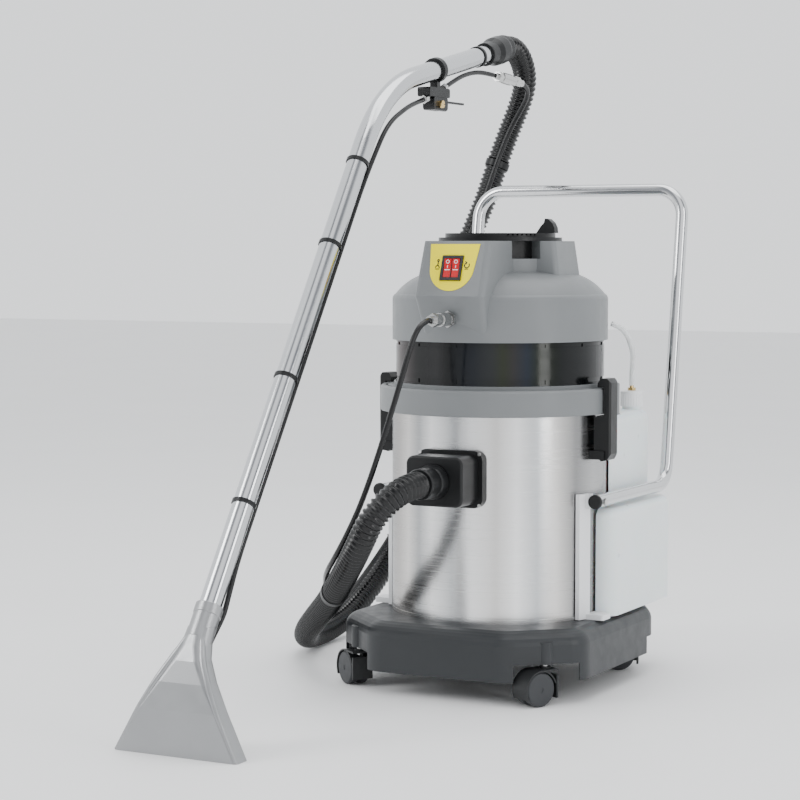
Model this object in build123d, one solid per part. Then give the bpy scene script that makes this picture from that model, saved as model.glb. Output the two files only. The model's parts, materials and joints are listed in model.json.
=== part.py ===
from build123d import *
import os
from math import atan2, cos, degrees, hypot, pi, radians, sin, sqrt, tan

# Spray extraction carpet cleaner on a four caster trolley, in millimetres, +Z up, front towards -Y.
# Everything is laid out round the drum's vertical axis, with the floor at z = 0, and is moved at the
# end so that the origin is the middle of the footprint of the machine and its wand.

# ---- driving dimensions ----
DRUM_R = 180.0
DRUM_WALL = 1.5
DRUM_Z0 = 107.0
DRUM_Z1 = 484.0
COLLAR_R = 200.0
COLLAR_Z0 = 447.0
COLLAR_Z1 = 489.0
BAND_R = 174.0
BAND_Z0 = 499.0
BAND_Z1 = 558.0
COVER_Z0 = 565.0
COVER_SHOULDER_Z = 637.0
COVER_TOP_Z = 728.0
COVER_WALL = 3.0
BASE_Z0 = 32.0
BASE_EDGE_Z = 90.0
BASE_TOP_Z = 112.0
INLET_Z = 347.0
INLET_FACE_Y = -245.0
CUFF_END_Y = -297.0
FITTING_Z = 603.0
FITTING_END_Y = -262.0
TANK_X = 213.0
TANK_FRONT_Y = -16.0
TANK_REAR_Y = 255.0
TANK_SHOULDER_Z = 290.0
BOTTLE_X = 175.0
BOTTLE_TOP_Z = 438.0
CAP_X = 148.0
CAP_Y = 222.0
HANDLE_X = 198.0
HANDLE_R = 11.0
HANDLE_Z = 306.0
HANDLE_FRONT_Y = -55.0
HANDLE_TOP_Z = 819.0
FLOOR_Z = -5.0
WHEEL_R = 27.5
WHEEL_W = 15.0
CASTER_TRAIL = 21.0
STEM_R = 4.5
CASTERS = {
    "front_right": (166.0, -182.0, 244.0),
    "front_left": (-168.0, -184.0, 144.0),
    "rear_right": (176.0, 158.0, 200.0),
    "rear_left": (-176.0, 158.0, 30.0),
}
LATCH_PIVOT = (199.0, -15.0, 380.0)
LATCH_HALF_WIDTH = 16.0
WAND_X = -150.0
WAND_R = 17.0
WAND_FOOT = (-671.0, 191.0)
WAND_KNEE = (-135.0, 980.0)
WAND_TOP = (262.0, 1064.4)
WAND_BEND_R = 285.0
WAND_JOINT = (WAND_X, 325.0, 1077.8)
WAND_JOINT_GAP = 7.0
NOZZLE_WIDTH = 209.0
NOZZLE_DEPTH = 32.0
NOZZLE_Y = -747.0
VAC_HOSE_R = 21.0
SOLUTION_HOSE_R = 4.5
LINE_R = 4.0
TUBE_R = 4.5

# ---- routes of the free hoses, from one end to the other ----
VACUUM_ROUTE = [
    (0, -297, 347), (0, -338, 347), (-14, -372, 329), (-36, -388, 298), (-58, -380, 262),
    (-98, -340, 222), (-145, -290, 181), (-205, -220, 137), (-276, -140, 93), (-340, -60, 55),
    (-387, 15, 27), (-410, 90, 17), (-417, 165, 18), (-418, 230, 34), (-413, 285, 64),
    (-401, 330, 104), (-385, 354, 152), (-371, 368, 208), (-361, 377, 275), (-351, 383, 351),
    (-339, 387, 432), (-322, 390, 523), (-299, 395, 612), (-272, 400, 690), (-248, 406, 750),
    (-227, 413, 803), (-214, 423, 851), (-203, 433, 894), (-189, 440, 936), (-173, 442, 974),
    (-159, 437, 1004), (-150, 426, 1031), (-147, 408, 1056), (-147.5, 383, 1077), (-150, 354, 1084),
    WAND_JOINT,
]
SOLUTION_ROUTE = [
    (0, -263, 603), (-1, -283, 600), (-4, -300, 584), (-9, -310, 560), (-22, -318, 505),
    (-38, -328, 442), (-56, -337, 378), (-76, -345, 318), (-97, -347, 274), (-124, -340, 233),
    (-166, -299, 197), (-214, -216, 165), (-268, -124, 114), (-329, -46, 82), (-378, 25, 60),
    (-404, 96, 51), (-416, 165, 54), (-418, 222, 68), (-413, 268, 95), (-401, 308, 133),
    (-381, 330, 175), (-362, 342, 220), (-350, 349, 278), (-340, 355, 352), (-328, 359, 432),
    (-310, 362, 523), (-287, 367, 612), (-260, 372, 690), (-236, 377, 750), (-215, 384, 803),
    (-202, 394, 851), (-190, 404, 894), (-174, 410, 936), (-152, 408, 970), (-133, 398, 994),
    (-124, 378, 1011), (-124.5, 356, 1016),
]
SUCTION_ROUTE = [
    (163, 92, 590), (175, 100, 585), (181, 116, 572), (178, 142, 553), (169, 175, 534),
    (156, 206, 516), (CAP_X, CAP_Y, 497), (CAP_X, CAP_Y, 479),
]
LINE_ROUTE = [
    (-147, -683, 133), (-146, -657, 160), (-143, -640, 181), (-143, -603, 254), (-143, -209, 829), (-143, -131, 921),
    (-147, -48, 954), (-150, 8, 967),
]
WHIP_ROUTE = [
    (-150, 98, 996), (-150, 124, 1006), (-150, 160, 1018), (-149, 200, 1026.5), (-146, 238, 1029),
    (-141, 272, 1026),
]
COUPLER_START = (-141, 273, 1026)
COUPLER_END = (-124.7, 354.5, 1016.2)

shapes = {}


def tube_between(start, end, radius):
    start = Vector(*start)
    end = Vector(*end)
    return extrude(Plane(origin=start, z_dir=end - start) * Circle(radius), (end - start).length)


def hex_between(start, end, across_flats):
    start = Vector(*start)
    end = Vector(*end)
    section = Plane(origin=start, z_dir=end - start) * RegularPolygon(across_flats / sqrt(3), 6)
    return extrude(section, (end - start).length)


def upright(x, y, radius, z0, z1):
    return Pos(x, y, (z0 + z1) / 2) * Cylinder(radius, z1 - z0)


def block(x0, x1, y0, y1, z0, z1):
    return Pos((x0 + x1) / 2, (y0 + y1) / 2, (z0 + z1) / 2) * Box(x1 - x0, y1 - y0, z1 - z0)


def ring(r_out, r_in, z0, z1):
    return upright(0, 0, r_out, z0, z1) - upright(0, 0, r_in, z0 - 1, z1 + 1)


def turned(points):
    """Solid of revolution about the drum axis from (radius, height) points."""
    profile = make_face(Polyline(*[(r, 0, z) for r, z in points], close=True))
    return revolve(profile, Axis.Z, 360)


def plan(points, z):
    return Pos(0, 0, z) * make_face(Polyline(*[(x, y, 0) for x, y in points], close=True))


def corner_radii(points):
    """Largest tangent arc at each corner: 0.45 of the shorter run over the tangent of half the turn."""
    radii = []
    for before, corner, after in zip(points, points[1:], points[2:]):
        run_in = Vector(*corner) - Vector(*before)
        run_out = Vector(*after) - Vector(*corner)
        half_turn = radians(run_in.get_angle(run_out)) / 2
        radii.append(0.45 * min(run_in.length, run_out.length) / tan(half_turn))
    return radii


def cord(name, points, radius):
    """Round cord of straight runs joined by tangent arcs."""
    radii = corner_radii(points)
    path = FilletPolyline(*[Vector(*p) for p in points], radius=radii)
    section = Plane(origin=path @ 0, z_dir=path % 0) * Circle(radius)
    solid = sweep(section, path=path)
    ratio = solid.volume / (pi * radius ** 2 * path.length)
    print(name, "length %.0f mm," % path.length, "volume ratio %.4f," % ratio,
          "smallest radius %.1f mm" % min(radii))
    print("   bend radii", [round(r) for r in radii])
    return solid


# ---- trolley ----
def base_outline():
    half = [(0, -238), (119, -236), (219, -147), (219, 145), (166, 242), (0, 244)]
    mirrored = [(-x, y) for x, y in reversed(half[1:-1])]
    outline = plan(half + mirrored, 0)
    corners = [v for v in outline.vertices() if abs(v.X) > 60]
    return fillet(corners, 48)


def trolley_base():
    outline = base_outline()
    inside = offset(outline, -5)
    body = Pos(0, 0, BASE_Z0) * extrude(outline, BASE_EDGE_Z - BASE_Z0)
    rim = [(BASE_EDGE_Z, 0.0), (96.0, 1.5), (101.0, 4.5), (105.5, 9.0), (109.0, 15.0), (BASE_TOP_Z, 23.0)]
    for (z0, inset0), (z1, inset1) in zip(rim, rim[1:]):
        lean = degrees(atan2(inset1 - inset0, z1 - z0))
        body += Pos(0, 0, z0) * extrude(offset(outline, -inset0) if inset0 else outline, z1 - z0, taper=lean)
    shell = body - Pos(0, 0, BASE_Z0 - 1) * extrude(inside, 62)
    roof_z = 60.0
    for x, y, heading in CASTERS.values():
        shell -= upright(x, y, 56, BASE_Z0 - 1, roof_z)
    for x, y, heading in CASTERS.values():
        shell += upright(x, y, 60, roof_z, roof_z + 5) & body
        shell += upright(x, y, 13, roof_z, 95)
        shell -= upright(x, y, STEM_R, roof_z - 1, 86)
    shell -= upright(0, 0, DRUM_R + 1.5, DRUM_Z0, BASE_TOP_Z + 5)
    return shell


def caster(name, x, y, heading):
    """Twin wheel caster: its swivel axis is its stem, and its wheels trail along its own +X."""
    place = Pos(x, y, FLOOR_Z) * Rot(0, 0, heading)
    cover_r = WHEEL_R + 3.5
    centre = (CASTER_TRAIL, 0, WHEEL_R)
    half = WHEEL_W + 3.0

    def across(radius, width):
        return Pos(*centre) * Rot(90, 0, 0) * Cylinder(radius, width)

    cover = across(cover_r, 2 * half) - across(cover_r - 2.5, 2 * half + 2)
    cover -= block(-40, CASTER_TRAIL + 40, -30, 30, -10, 13)
    cover -= block(-40, CASTER_TRAIL - 14, -30, 30, -10, 36)
    back = block(-13, -9.5, -half, half, 12, 49)
    top = block(-13, CASTER_TRAIL, -half, half, WHEEL_R + cover_r - 3.0, WHEEL_R + cover_r)
    web = across(19, 3) + block(-11, CASTER_TRAIL, -1.5, 1.5, 15, WHEEL_R + cover_r - 1)
    boss = upright(0, 0, 9, WHEEL_R + cover_r - 4, WHEEL_R + cover_r + 3)
    hood = cover + back + top + web + boss
    hood -= upright(0, 0, STEM_R + 0.4, WHEEL_R + cover_r - 8, 80)
    hood -= across(4.4, 60)
    wheels = []
    for side in (-1, 1):
        wheel = Pos(CASTER_TRAIL, side * (WHEEL_W / 2 + 2.2), WHEEL_R) * Rot(90, 0, 0) * Cylinder(
            WHEEL_R, WHEEL_W)
        wheel = fillet(wheel.edges().filter_by(GeomType.CIRCLE), 3.5)
        wheel -= across(4.0, 60)
        wheels.append(wheel)
    axle = across(4.0, 2 * WHEEL_W + 3.0)
    shapes["caster_hood_" + name] = place * hood
    shapes["caster_wheels_" + name] = place * Compound(wheels + [axle])
    top_of_hood = WHEEL_R + cover_r - 8
    return upright(x, y, STEM_R, FLOOR_Z + top_of_hood + 1, 85)


# ---- recovery drum ----
def drum():
    shell = upright(0, 0, DRUM_R, DRUM_Z0, DRUM_Z1) - upright(0, 0, DRUM_R - DRUM_WALL, DRUM_Z0 + 2, DRUM_Z1 + 5)
    return shell - tube_between((0, -150, INLET_Z), (0, -200, INLET_Z), 24)


def drum_collar():
    collar = turned([
        (DRUM_R + 0.1, COLLAR_Z0), (COLLAR_R - 1, COLLAR_Z0), (COLLAR_R, COLLAR_Z0 + 1),
        (COLLAR_R, COLLAR_Z1 - 3), (COLLAR_R - 3, COLLAR_Z1), (COLLAR_R - 8, COLLAR_Z1),
        (COLLAR_R - 10, DRUM_Z1), (DRUM_R + 0.1, DRUM_Z1),
    ])
    for side in (-1, 1):
        lug = block(194, 207, 4, 22, COLLAR_Z0 - 4, COLLAR_Z1 + 7)
        lug = fillet(lug.edges().filter_by(Axis.Y), 2.5)
        lug -= upright(0, 0, DRUM_R + 12, COLLAR_Z0 - 9, COLLAR_Z1 + 9)
        collar += lug if side > 0 else mirror(lug, about=Plane.YZ)
    return collar


def inlet_housing():
    flange = Pos(0, -172, INLET_Z) * Rot(90, 0, 0) * extrude(RectangleRounded(116, 92, 16), 16)
    face = Pos(0, -185, INLET_Z) * Rot(90, 0, 0) * extrude(RectangleRounded(100, 80, 13), -INLET_FACE_Y - 185)
    face = fillet(face.faces().sort_by(Axis.Y)[0].edges(), 4)
    body = flange + face
    body -= upright(0, 0, DRUM_R + 0.05, INLET_Z - 80, INLET_Z + 80)
    body += tube_between((0, -165, INLET_Z), (0, -200, INLET_Z), 23.6)
    return body - tube_between((0, -160, INLET_Z), (0, -260, INLET_Z), 20.5) - tube_between(
        (0, -225, INLET_Z), (0, -260, INLET_Z), 25.0)


def inlet_screws():
    screws = []
    for x in (-53, 53):
        for z in (-41, 41):
            head = tube_between((x, -188.1, INLET_Z + z), (x, -190.0, INLET_Z + z), 2.6)
            head -= block(x - 3, x + 3, -191, -189.2, INLET_Z + z - 0.5, INLET_Z + z + 0.5)
            screws.append(head)
    return Compound(screws)


def hose_cuff():
    """Swivel cuff that plugs into the inlet housing."""
    profile = [
        (17.0, -228), (24.6, -228), (24.6, -246.5), (28.0, -246.5), (28.5, -251), (26.5, -262),
        (25.0, -266), (25.0, CUFF_END_Y + 3.4), (23.5, CUFF_END_Y + 0.4), (17.0, CUFF_END_Y + 0.4),
    ]
    face = make_face(Polyline(*[(r, y, 0) for r, y in profile], close=True))
    return Pos(0, 0, INLET_Z) * revolve(face, Axis.Y, 360)


# ---- latches ----
def latch(side):
    outline = [
        (184, 386), (184, 438), (190, 444.5), (201.5, 444.5), (201.5, 490.6), (190, 490.6),
        (190, 497), (195, 505), (207, 505), (213, 498), (213, 382), (207, 372), (196, 370),
    ]
    face = make_face(Polyline(*[(x, 0, z) for x, z in outline], close=True))
    body = Pos(0, LATCH_PIVOT[1] + LATCH_HALF_WIDTH, 0) * extrude(face, 2 * LATCH_HALF_WIDTH, dir=(0, -1, 0))
    pin_start = (LATCH_PIVOT[0], LATCH_PIVOT[1] - 30, LATCH_PIVOT[2])
    pin_end = (LATCH_PIVOT[0], LATCH_PIVOT[1] + 30, LATCH_PIVOT[2])
    body = chamfer(body.edges().filter_by(Axis.Z).filter_by(lambda e: e.center().X > 212), 3)
    body -= tube_between(pin_start, pin_end, 2.9)
    return body if side > 0 else mirror(body, about=Plane.YZ)


def latch_brackets():
    half = LATCH_HALF_WIDTH + 0.6
    px, py, pz = LATCH_PIVOT
    bracket = tube_between((px, py - half - 2.5, pz), (px, py + half + 2.5, pz), 2.5)
    for side in (-1, 1):
        y_in = py + side * half
        y_out = py + side * (half + 3)
        cheek = block(176, px + 4, min(y_in, y_out), max(y_in, y_out), pz - 7, pz + 7)
        bracket += cheek
    bracket += block(176, 182.6, py - half - 3, py + half + 3, pz - 7, pz + 7)
    bracket -= upright(0, 0, DRUM_R + 0.05, pz - 20, pz + 20)
    return Compound([bracket, mirror(bracket, about=Plane.YZ)])


# ---- clean solution tank ----
def tank_form(inset):
    """Tank wrapped round the back of the drum, drawn in by inset on every side."""
    lower = Pos(0, (TANK_FRONT_Y + TANK_REAR_Y) / 2, BASE_TOP_Z + 1 + inset) * extrude(
        RectangleRounded(2 * (TANK_X - inset), TANK_REAR_Y - TANK_FRONT_Y - 2 * inset, 26 - inset),
        TANK_SHOULDER_Z - BASE_TOP_Z - 1 - 2 * inset)
    upper_front_y = 40.0
    upper = Pos(0, (upper_front_y + TANK_REAR_Y - 3) / 2, BASE_TOP_Z + 30) * extrude(
        RectangleRounded(2 * (BOTTLE_X - inset), TANK_REAR_Y - 3 - upper_front_y - 2 * inset, 26 - inset),
        BOTTLE_TOP_Z - BASE_TOP_Z - 30 - inset)
    if inset == 0:
        lower = fillet(lower.faces().sort_by(Axis.Z)[-1].edges(), 15)
        upper = fillet(upper.faces().sort_by(Axis.Z)[-1].edges(), 17)
    body = lower + upper
    body -= upright(0, 0, DRUM_R + 3 + inset, BASE_TOP_Z - 5, BOTTLE_TOP_Z + 5)
    body -= upright(0, 0, COLLAR_R + 9 + inset, COLLAR_Z0 - 12 - inset, BOTTLE_TOP_Z + 20)
    return body


def solution_tank():
    tank = tank_form(0)
    tank += upright(CAP_X, CAP_Y, 16.5, BOTTLE_TOP_Z - 8, 462)
    tank -= tank_form(5)
    return tank - upright(CAP_X, CAP_Y, 13.0, BOTTLE_TOP_Z - 20, 470)


def tank_cap():
    cap = upright(CAP_X, CAP_Y, 19.5, 443, 470)
    cap = fillet(cap.faces().sort_by(Axis.Z)[-1].edges(), 3)
    for step in range(24):
        angle = radians(step * 15)
        cap -= upright(CAP_X + 20.0 * cos(angle), CAP_Y + 20.0 * sin(angle), 1.1, 442, 465)
    cap -= upright(CAP_X, CAP_Y, 16.9, 442, 465)
    return cap - upright(CAP_X, CAP_Y, 5.4, 460, 475)


def tank_nipple():
    hexagon = hex_between((CAP_X, CAP_Y, 470.3), (CAP_X, CAP_Y, 475), 13)
    spigot = upright(CAP_X, CAP_Y, 5.0, 452, 471) + upright(CAP_X, CAP_Y, 3.6, 474, 478.6)
    return hexagon + spigot - upright(CAP_X, CAP_Y, 2.0, 440, 480)


def tank_bracket(side):
    """White upright that hugs the drum ahead of the tank and carries the end of the push handle."""
    plate = upright(0, 0, DRUM_R + 8, BASE_TOP_Z + 1, 318) - upright(0, 0, DRUM_R + 1.8, BASE_TOP_Z, 330)
    plate &= block(150, 190, -68, -42, BASE_TOP_Z, 330)
    foot = block(171, 211, -52, -18, BASE_TOP_Z + 0.3, BASE_TOP_Z + 9)
    foot = fillet(foot.edges().filter_by(Axis.Z), 5)
    foot -= upright(0, 0, DRUM_R + 1.8, BASE_TOP_Z, 330)
    ear = block(172, HANDLE_X - HANDLE_R, -54.5, -40, 294, 318) - upright(0, 0, DRUM_R + 1.8, 290, 330)
    body = plate + foot + ear
    return body if side > 0 else mirror(body, about=Plane.YZ)


# ---- push handle ----
def handle_upright_y(z):
    return 257.5 + (z - HANDLE_Z) * 0.151


def push_handle():
    corners = [
        (-HANDLE_X, HANDLE_FRONT_Y, HANDLE_Z), (-HANDLE_X, handle_upright_y(HANDLE_Z), HANDLE_Z),
        (-HANDLE_X, handle_upright_y(HANDLE_TOP_Z), HANDLE_TOP_Z),
        (HANDLE_X, handle_upright_y(HANDLE_TOP_Z), HANDLE_TOP_Z),
        (HANDLE_X, handle_upright_y(HANDLE_Z), HANDLE_Z), (HANDLE_X, HANDLE_FRONT_Y, HANDLE_Z),
    ]
    path = FilletPolyline(*corners, radius=[42, 48, 48, 42])
    section = Plane(origin=path @ 0, z_dir=path % 0) * (Circle(HANDLE_R) - Circle(HANDLE_R - 1.5))
    return sweep(section, path=path)


def handle_end_caps():
    caps = []
    for side in (-1, 1):
        x = side * HANDLE_X
        cap = tube_between((x, HANDLE_FRONT_Y, HANDLE_Z), (x, HANDLE_FRONT_Y - 6, HANDLE_Z), HANDLE_R + 1)
        cap = fillet(cap.faces().sort_by(Axis.Y)[0].edges(), 3)
        cap += tube_between((x, HANDLE_FRONT_Y - 1, HANDLE_Z), (x, HANDLE_FRONT_Y + 5, HANDLE_Z), HANDLE_R - 1.6)
        caps.append(cap)
    return Compound(caps)


def handle_bolts():
    bolts = []
    for side in (-1, 1):
        outer = (side * (HANDLE_X + HANDLE_R + 0.1), -46, HANDLE_Z)
        end = (side * (HANDLE_X + HANDLE_R + 4), -46, HANDLE_Z)
        bolts.append(hex_between(outer, end, 10))
    return Compound(bolts)


# ---- motor head ----
def raised_block(sections):
    """Block through rectangles (half width, near, far, z), reaching out towards -Y."""
    faces = []
    for half, near, far, z in sections:
        faces.append(plan([(-half, near), (half, near), (half, far), (-half, far)], z))
    return loft(faces, ruled=True)


def front_block(inset):
    body = raised_block([
        (55 - inset, -169 + inset, -50, COVER_Z0 + 1), (62 - inset, -196 + inset, -50, 640),
        (60 - inset, -165 + inset, -50, COVER_TOP_Z - inset),
    ])
    if inset == 0:
        sides = [e for e in body.edges() if e.center().Y < -150 and abs(e.center().X) > 40]
        body = fillet([e for e in sides if abs((e % 0.5).Z) > 0.5], 9)
    return body


def side_block(inset, angle):
    body = raised_block([
        (50 - inset, -131 + inset, -30, 636), (45 - inset, -118 + inset, -30, COVER_TOP_Z - inset),
    ])
    if inset == 0:
        body = fillet([e for e in body.edges() if e.center().Y < -110 and abs((e % 0.5).Z) > 0.5], 8)
    return Rot(0, 0, angle) * body


def dome_profile(inset):
    """Half section of the cover's body of revolution, from its lower rim to its axis."""
    r = DRUM_R - inset
    rim = (r, 0, COVER_Z0 if inset == 0 else COVER_Z0 - 1)
    shoulder = Line(rim, (r, 0, COVER_SHOULDER_Z - 4))
    roll = ThreePointArc((r, 0, COVER_SHOULDER_Z - 4), (r - 1.6, 0, COVER_SHOULDER_Z + 0.5 - inset / 3),
                         (r - 5.5, 0, COVER_SHOULDER_Z + 4 - inset))
    dome = ThreePointArc((r - 5.5, 0, COVER_SHOULDER_Z + 4 - inset), (155 - inset, 0, 660 - inset),
                         (126 - inset, 0, 674 - inset))
    flat = Polyline((126 - inset, 0, 674 - inset), (100 - inset, 0, 678 - inset),
                    (100 - inset, 0, COVER_TOP_Z - inset), (0, 0, COVER_TOP_Z - inset),
                    (0, 0, rim[2]), rim)
    return make_face([*shoulder.edges(), *roll.edges(), *dome.edges(), *flat.edges()])


NOTCH_ANGLES = (-40, 40, 140, 220)
NOTCH_BACK_R = 66.0


def head_notches():
    """Four recesses between the raised blocks, cut through to the black vent insert."""
    cuts = []
    for angle in NOTCH_ANGLES:
        cuts.append(Rot(0, 0, angle) * block(NOTCH_BACK_R, 112, -25, 25, 699, COVER_TOP_Z + 4))
    return cuts


GLAND_START = Vector(57, 157, 600)
GLAND_OUT = Vector(0.341, 0.94, 0)
SWITCH_PLANE = Plane(origin=(0, -180.5, 684), x_dir=(1, 0, 0), z_dir=(0, -88, 31))


def head_cover():
    body = revolve(dome_profile(0), Axis.Z, 360) + front_block(0)
    for angle in (90, 180, 270):
        body += side_block(0, angle)
    for cut in head_notches():
        body -= cut
    hollow = revolve(dome_profile(COVER_WALL), Axis.Z, 360) + front_block(COVER_WALL + 0.5)
    hollow -= ring(105, NOTCH_BACK_R - 4, 695, 740)
    body -= hollow
    body += ring(DRUM_R - 2, BAND_R - 4, COVER_Z0, COVER_Z0 + 3)
    body -= SWITCH_PLANE * Pos(0, 0, -9) * Box(31.5, 36.5, 40)
    body -= tube_between((0, -150, FITTING_Z), (0, -200, FITTING_Z), 8.6)
    body -= extrude(Plane(origin=GLAND_START, z_dir=GLAND_OUT) * Circle(6.2), 40)
    return body


def head_band():
    """Glossy ring between the collar and the cover, with a row of vent windows at each edge."""
    band = ring(BAND_R, BAND_R - 3, BAND_Z0 - 4, COVER_Z0)
    windows = 14
    for row_z0, row_z1 in ((BAND_Z0 - 1, BAND_Z0 + 6), (BAND_Z1 - 1, BAND_Z1 + 4)):
        cuts = ring(BAND_R + 1, BAND_R - 1.6, row_z0, row_z1)
        for step in range(windows):
            cuts -= Rot(0, 0, (step + 0.5) * 360 / windows) * block(150, 190, -4, 4, 480, 600)
        band -= cuts
    return band


def head_base():
    plate = upright(0, 0, BAND_R + 3.5, 485, BAND_Z0 - 4) - upright(0, 0, 46, 480, 500)
    flange = ring(COLLAR_R - 12, BAND_R, DRUM_Z1 + 0.5, 489)
    for side in (-1, 1):
        x0, x1 = sorted((side * 160, side * 210))
        flange -= block(x0, x1, -38, 8, 480, 495)
    plate += flange + ring(54, 46, 484, 506)
    return plate - upright(100, 60, 5, 480, 500)


def vacuum_motor():
    motor = upright(0, 0, 70, 506, 545) + upright(0, 0, 52, 545, 600) + upright(0, 0, 20, 600, 618)
    return motor - upright(0, 0, 60, 512, 534) - upright(0, 0, 30, 500, 515) - upright(0, 0, 5.5, 530, 610)


def motor_fan():
    fan = upright(0, 0, 54, 516, 518) + upright(0, 0, 5, 516, 606)
    for step in range(8):
        fan += Rot(0, 0, step * 45) * block(8, 53, -1, 1, 518, 529)
    return fan


def solution_pump():
    pump = tube_between((95, 40, 522), (95, 92, 522), 21) + block(78, 112, 30, 60, 495, 520)
    return pump + tube_between((95, 92, 522), (95, 100, 522), 12)


def float_cage():
    cage = upright(0, 0, 40, 404, 484) - upright(0, 0, 36.5, 408, 490)
    for step in range(8):
        cage -= Rot(0, 0, step * 45 + 10) * block(20, 45, -7, 7, 414, 472)
    return cage + (ring(50, 36.5, 480, 483.5))


def float_ball():
    return Pos(0, 0, 427) * Sphere(18)


def top_cap():
    cap = upright(0, 0, 103, COVER_TOP_Z + 0.2, 734) + upright(0, 0, 92, 733, 741)
    for step in range(-3, 4):
        cap -= Rot(0, 0, step * 5 - 42) * block(80, 96, -1.6, 1.6, 737, 745)
    for angle in NOTCH_ANGLES:
        cap += Rot(0, 0, angle) * block(NOTCH_BACK_R + 0.2, NOTCH_BACK_R + 4, -24.6, 24.6, 700, COVER_TOP_Z + 1)
    return cap


def cord_hook():
    outline = [(70, 741), (104, 741), (103, 750), (99, 758), (92, 764), (86, 765), (84, 758), (78, 752)]
    face = make_face(Polyline(*[(x, 0, z) for x, z in outline], close=True))
    hook = Pos(0, 7, 0) * extrude(face, 14, dir=(0, -1, 0))
    return Rot(0, 0, -2) * hook


def label_panel():
    outline = Polyline((-39, -2), (-44, 41), (44, 41), (39, -2))
    round_end = ThreePointArc((39, -2), (0, -38), (-39, -2))
    face = make_face([*outline.edges(), *round_end.edges()])
    panel = SWITCH_PLANE * Pos(0, 0, 0.05) * extrude(face, 0.8)
    return panel - SWITCH_PLANE * Box(33, 38, 10)


def switch_bezel():
    frame = Pos(0, 0, 2.1) * Box(37, 42, 2.3) + Pos(0, 0, -7.5) * Box(31, 36, 17.5)
    for x in (-7.2, 7.2):
        frame -= Pos(x, 0, -3.5) * Box(13.2, 32.0, 20)
    return SWITCH_PLANE * frame


def rocker(side):
    outline = [(-15.2, -6), (15.2, -6), (15.2, 3.6), (0, 2.4), (-15.2, 3.6)]
    face = Plane.YZ * make_face(Polyline(*[(y, z) for y, z in outline], close=True))
    body = Pos(-6.2, 0, 0) * extrude(face, 12.4)
    body = Rot(5, 0, 0) * body
    return SWITCH_PLANE * Pos(side * 7.2, 0, 0) * body


def outlet_fitting():
    z = FITTING_Z
    body = hex_between((0, -189, z), (0, -197, z), 24)
    body += tube_between((0, -170, z), (0, -204, z), 8.5)
    body += tube_between((0, -203, z), (0, -226, z), 11)
    body += tube_between((0, -226, z), (0, -244, z), 9.5)
    body += hex_between((0, -240, z), (0, -250, z), 19)
    body += tube_between((0, -249, z), (0, FITTING_END_Y, z), 6.5)
    return body - tube_between((0, -165, z), (0, -280, z), 3)


def mains_gland():
    wall = GLAND_START + GLAND_OUT * 13.3
    body = extrude(Plane(origin=GLAND_START, z_dir=GLAND_OUT) * Circle(6), 16)
    body += extrude(Plane(origin=wall, z_dir=GLAND_OUT) * RegularPolygon(12, 6), 9)
    body += extrude(Plane(origin=wall + GLAND_OUT * 9, z_dir=GLAND_OUT) * Circle(8), 12, taper=10)
    return body - extrude(Plane(origin=GLAND_START, z_dir=GLAND_OUT) * Circle(4), 60)


# ---- wand ----
def in_wand_plane(y, z, x=WAND_X):
    return (x, y, z)


LEAN = Vector(0, WAND_KNEE[0] - WAND_FOOT[0], WAND_KNEE[1] - WAND_FOOT[1]).normalized()
RISE = Vector(0, WAND_TOP[0] - WAND_KNEE[0], WAND_TOP[1] - WAND_KNEE[1]).normalized()


def along_wand(distance):
    """Point on the lower straight of the wand, that far above the middle of the neck ring."""
    return Vector(WAND_X, *WAND_FOOT) + LEAN * distance


def along_grip(distance):
    """Point on the upper straight of the wand, that far above the knee."""
    return Vector(WAND_X, *WAND_KNEE) + RISE * distance


def wand_tube():
    path = FilletPolyline(along_wand(-4), in_wand_plane(*WAND_KNEE), in_wand_plane(*WAND_TOP),
                          radius=[WAND_BEND_R])
    section = Plane(origin=path @ 0, z_dir=path % 0) * (Circle(WAND_R) - Circle(WAND_R - 1.5))
    return sweep(section, path=path)


def wand_collar():
    start = along_wand(-8)
    end = along_wand(8)
    body = tube_between(start, end, 21)
    body = fillet(body.edges().filter_by(GeomType.CIRCLE), 1.5)
    return body - tube_between(along_wand(-20), along_wand(20), WAND_R + 0.05)


def nozzle_form(inset):
    """Flared shoe from the round neck down to the wide flat lip."""
    sections = [
        (NOZZLE_WIDTH, NOZZLE_DEPTH, NOZZLE_Y, FLOOR_Z), (136.0, 32.0, -740.0, 60.0), (94.0, 33.0, -729.0, 98.0),
        (60.0, 36.0, -716.0, 128.0), (45.0, 40.0, -702.0, 148.0), (41.0, 40.0, -687.0, 172.0),
    ]
    if inset > 0:
        sections[-1] = (42.0, 40.0, -694.5, 160.0)
    faces = []
    for width, depth, y, z in sections:
        w = width - 2 * inset
        d = depth - 2 * inset
        faces.append(Pos(WAND_X, y, z) * RectangleRounded(w, d, min(d / 2 - 0.5, 6.0 if z < 62 else 3 + z / 10)))
    return loft(faces, ruled=True)


def floor_nozzle():
    neck = tube_between(along_wand(-46), along_wand(-8), 20)
    body = nozzle_form(0) + neck
    body -= nozzle_form(2.5)
    body -= tube_between(along_wand(-48), along_wand(0), WAND_R)
    return body


def spray_jet():
    body = block(WAND_X - 8, WAND_X + 10, -700, -681, 108, 132)
    body += tube_between((WAND_X + 1, -689, 109), (WAND_X + 1, -693, 94), 5)
    return body


def wand_cuff():
    start = along_grip(392)
    neck = Vector(*WAND_JOINT)
    length = (neck - start).length - WAND_JOINT_GAP
    axis = Plane(origin=start, z_dir=RISE)
    profile = [(WAND_R + 0.1, 0), (20.5, 0), (21, 2), (21, 26), (25.5, 38), (26, 62), (24, length), (16, length),
               (16, 18), (WAND_R + 0.1, 18)]
    face = make_face(Polyline(*[(r, 0, z) for r, z in profile], close=True))
    return axis * revolve(face, Axis.Z, 360)


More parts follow.
